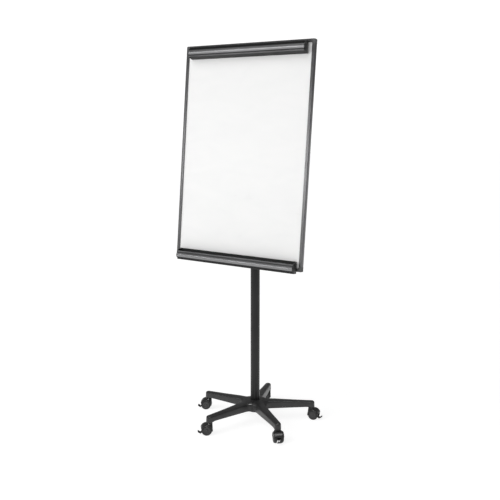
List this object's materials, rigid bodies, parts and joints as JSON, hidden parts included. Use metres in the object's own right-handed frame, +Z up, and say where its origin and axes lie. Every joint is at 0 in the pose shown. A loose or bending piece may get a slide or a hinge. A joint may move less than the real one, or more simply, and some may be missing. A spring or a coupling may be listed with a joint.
{
  "type": "mobile flipchart easel",
  "caption": "Framed white writing board with a hinged paper clamp and a pen tray, tilting on a telescopic column over a star base with braked twin-wheel casters.",
  "frame": {"origin": "on the floor, under the axis of the column", "axes": "+Z up the column; -Y the way the writing surface faces; +X to the right of someone who looks at the writing surface"},
  "size_m": [0.7, 0.5973, 1.7967],
  "materials": {
    "base_nylon": "fine grained black moulded nylon",
    "column_paint": "black satin powder coat on steel tube",
    "black_plastic": "black moulded plastic",
    "zinc_steel": "zinc plated steel",
    "graphite_rail": "graphite anodised aluminium, satin",
    "graphite_bar": "graphite anodised aluminium profile, satin",
    "corner_plastic": "grey moulded plastic",
    "white_lacquer": "white lacquered steel writing surface",
    "board_fibre": "pressed fibre board",
    "back_lacquer": "light grey lacquered steel back sheet",
    "bracket_paint": "black powder coat",
    "wheel_plastic": "dark grey nylon wheel"
  },
  "bodies": {
    "base": {"star_base": "base_nylon", "column_fixings": "zinc_steel", "column_foot_plug": "black_plastic", "lower_column": "column_paint", "guide_bush": "black_plastic", "clamp_collar": "black_plastic"},
    "height_knob": {"height_knob": "black_plastic"},
    "mast": {"mast": "column_paint", "mast_glide": "black_plastic", "tilt_head": "base_nylon"},
    "board": {"tilt_bracket": "bracket_paint", "back_plate": "bracket_paint", "bracket_screws": "zinc_steel", "tilt_bolt": "zinc_steel", "tilt_washers": "black_plastic", "writing_panel": "white_lacquer", "board_core": "board_fibre", "back_sheet": "back_lacquer", "rail_left": "graphite_rail", "rail_right": "graphite_rail", "rail_top": "graphite_rail", "rail_bottom": "graphite_rail", "frame_corners": "corner_plastic", "pen_tray": "graphite_bar", "tray_caps": "black_plastic", "board_screws": "zinc_steel", "clamp_rail": "bracket_paint", "clamp_hinge_pin": "zinc_steel"},
    "tilt_knob": {"tilt_knob": "black_plastic"},
    "clamp": {"clamp_bar": "graphite_bar", "clamp_caps": "black_plastic"},
    "peg_left": {"pad_peg_left": "zinc_steel"},
    "peg_right": {"pad_peg_right": "zinc_steel"},
    "caster_1_fork": {"caster_1_housing": "black_plastic", "caster_1_stem": "zinc_steel", "caster_1_axle": "zinc_steel"},
    "caster_1_roller": {"caster_1_wheels": "wheel_plastic"},
    "caster_1_brake": {"caster_1_pedal": "black_plastic"},
    "caster_2_fork": {"caster_2_housing": "black_plastic", "caster_2_stem": "zinc_steel", "caster_2_axle": "zinc_steel"},
    "caster_2_roller": {"caster_2_wheels": "wheel_plastic"},
    "caster_2_brake": {"caster_2_pedal": "black_plastic"},
    "caster_3_fork": {"caster_3_housing": "black_plastic", "caster_3_stem": "zinc_steel", "caster_3_axle": "zinc_steel"},
    "caster_3_roller": {"caster_3_wheels": "wheel_plastic"},
    "caster_3_brake": {"caster_3_pedal": "black_plastic"},
    "caster_4_fork": {"caster_4_housing": "black_plastic", "caster_4_stem": "zinc_steel", "caster_4_axle": "zinc_steel"},
    "caster_4_roller": {"caster_4_wheels": "wheel_plastic"},
    "caster_4_brake": {"caster_4_pedal": "black_plastic"},
    "caster_5_fork": {"caster_5_housing": "black_plastic", "caster_5_stem": "zinc_steel", "caster_5_axle": "zinc_steel"},
    "caster_5_roller": {"caster_5_wheels": "wheel_plastic"},
    "caster_5_brake": {"caster_5_pedal": "black_plastic"}
  },
  "joints": [
    {"name": "mast_height", "type": "slide", "parent": "base", "child": "mast", "axis": [0, 0, 1], "range_m": [-0.2, 0.15]},
    {"name": "height_knob_turn", "type": "hinge", "parent": "base", "child": "height_knob", "pos_m": [0, 0.05, 0.93], "axis": [0, 1, 0], "continuous": true},
    {"name": "board_tilt", "type": "hinge", "parent": "mast", "child": "board", "pos_m": [0, -0.06, 1.294], "axis": [-1, 0, 0], "range_deg": [-5.7, 24.3]},
    {"name": "tilt_knob_turn", "type": "hinge", "parent": "board", "child": "tilt_knob", "pos_m": [0.03, -0.06, 1.294], "axis": [1, 0, 0], "continuous": true},
    {"name": "clamp_lift", "type": "hinge", "parent": "board", "child": "clamp", "pos_m": [0, -0.07029, 1.78294], "axis": [-1, 0, 0], "range_deg": [0, 100]},
    {"name": "peg_left_slide", "type": "slide", "parent": "board", "child": "peg_left", "axis": [1, 0, 0], "range_m": [-0.04, 0.04]},
    {"name": "peg_right_slide", "type": "slide", "parent": "board", "child": "peg_right", "axis": [1, 0, 0], "range_m": [-0.04, 0.04]},
    {"name": "caster_1_swivel", "type": "hinge", "parent": "base", "child": "caster_1_fork", "pos_m": [-0.27681, -0.01015, 0.058], "axis": [0, 0, 1], "continuous": true},
    {"name": "caster_1_roll", "type": "hinge", "parent": "caster_1_fork", "child": "caster_1_roller", "pos_m": [-0.28869, -0.01757, 0.025], "axis": [0.5299, -0.848, 0], "continuous": true},
    {"name": "caster_1_pedal_lift", "type": "hinge", "parent": "caster_1_fork", "child": "caster_1_brake", "pos_m": [-0.30141, -0.02552, 0.023], "axis": [-0.5299, 0.848, 0], "range_deg": [0, 14]},
    {"name": "caster_2_swivel", "type": "hinge", "parent": "base", "child": "caster_2_fork", "pos_m": [-0.07589, -0.2664, 0.058], "axis": [0, 0, 1], "continuous": true},
    {"name": "caster_2_roll", "type": "hinge", "parent": "caster_2_fork", "child": "caster_2_roller", "pos_m": [-0.08629, -0.27577, 0.025], "axis": [0.6691, -0.7431, 0], "continuous": true},
    {"name": "caster_2_pedal_lift", "type": "hinge", "parent": "caster_2_fork", "child": "caster_2_brake", "pos_m": [-0.09744, -0.28581, 0.023], "axis": [-0.6691, 0.7431, 0], "range_deg": [0, 14]},
    {"name": "caster_3_swivel", "type": "hinge", "parent": "base", "child": "caster_3_fork", "pos_m": [0.22991, -0.15449, 0.058], "axis": [0, 0, 1], "continuous": true},
    {"name": "caster_3_roll", "type": "hinge", "parent": "caster_3_fork", "child": "caster_3_roller", "pos_m": [0.23946, -0.16473, 0.025], "axis": [0.7314, 0.682, 0], "continuous": true},
    {"name": "caster_3_pedal_lift", "type": "hinge", "parent": "caster_3_fork", "child": "caster_3_brake", "pos_m": [0.24969, -0.17571, 0.023], "axis": [-0.7314, -0.682, 0], "range_deg": [0, 14]},
    {"name": "caster_4_swivel", "type": "hinge", "parent": "base", "child": "caster_4_fork", "pos_m": [0.21798, 0.17092, 0.058], "axis": [0, 0, 1], "continuous": true},
    {"name": "caster_4_roll", "type": "hinge", "parent": "caster_4_fork", "child": "caster_4_roller", "pos_m": [0.23177, 0.17335, 0.025], "axis": [-0.1736, 0.9848, 0], "continuous": true},
    {"name": "caster_4_pedal_lift", "type": "hinge", "parent": "caster_4_fork", "child": "caster_4_brake", "pos_m": [0.24654, 0.17596, 0.023], "axis": [0.1736, -0.9848, 0], "range_deg": [0, 14]},
    {"name": "caster_5_swivel", "type": "hinge", "parent": "base", "child": "caster_5_fork", "pos_m": [-0.09519, 0.26013, 0.058], "axis": [0, 0, 1], "continuous": true},
    {"name": "caster_5_roll", "type": "hinge", "parent": "caster_5_fork", "child": "caster_5_roller", "pos_m": [-0.1068, 0.2523, 0.025], "axis": [0.5592, -0.829, 0], "continuous": true},
    {"name": "caster_5_pedal_lift", "type": "hinge", "parent": "caster_5_fork", "child": "caster_5_brake", "pos_m": [-0.11924, 0.24391, 0.023], "axis": [-0.5592, 0.829, 0], "range_deg": [0, 14]}
  ]
}
